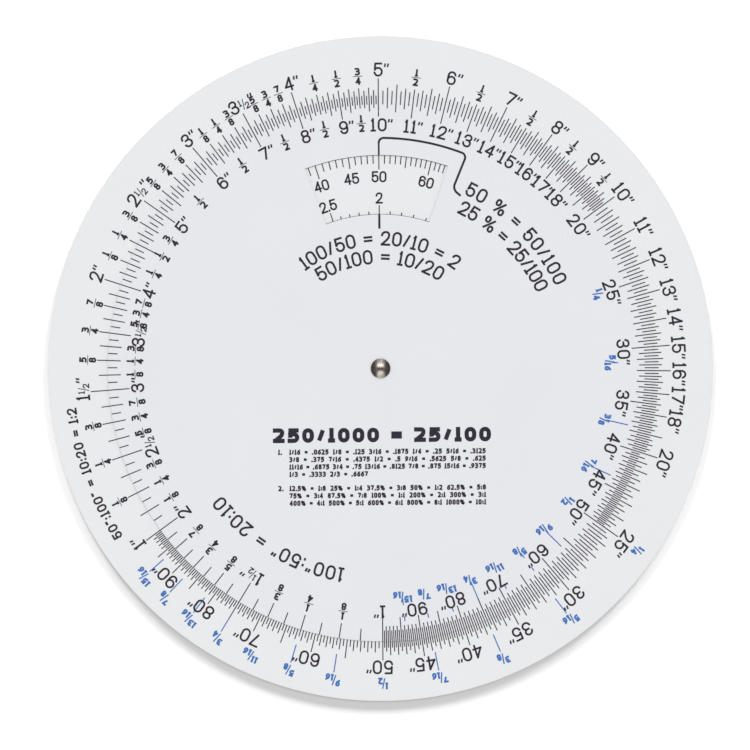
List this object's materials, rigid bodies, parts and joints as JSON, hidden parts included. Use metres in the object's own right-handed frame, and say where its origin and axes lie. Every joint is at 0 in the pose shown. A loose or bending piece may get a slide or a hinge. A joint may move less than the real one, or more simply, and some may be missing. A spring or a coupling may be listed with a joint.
{
  "type": "proportional scale wheel",
  "caption": "Flat round scale calculator: a dial with a logarithmic inch scale and a sector window turns on a rivet over a larger base disc with matching scales.",
  "frame": {"origin": "rivet axis at the base disc's back face, which is the centre of the bottom of the box", "axes": "+Z along the rivet, out of the printed face; +Y along the zero line of the base disc's scales; values grow clockwise seen from +Z"},
  "size_m": [0.2032, 0.2032, 0.0024],
  "materials": {
    "base_sheet": "satin",
    "dial_sheet": "satin",
    "black_ink": "matt",
    "blue_ink": "matt",
    "rivet_metal": "turned"
  },
  "bodies": {
    "base": {"base_disc": "base_sheet", "reproduction_graduations": "black_ink", "reproduction_leaders": "blue_ink", "percentage_graduations": "black_ink", "reduction_graduations": "black_ink", "rivet": "rivet_metal", "back_washer": "rivet_metal"},
    "dial": {"dial_disc": "dial_sheet", "original_graduations": "black_ink", "original_leaders": "blue_ink", "percentage_pointer": "black_ink", "reduction_pointer": "black_ink"}
  },
  "joints": [
    {"name": "dial_turn", "type": "hinge", "parent": "base", "child": "dial", "pos_m": [0, 0, 0.0011], "axis": [0, 0, 1], "continuous": true}
  ]
}
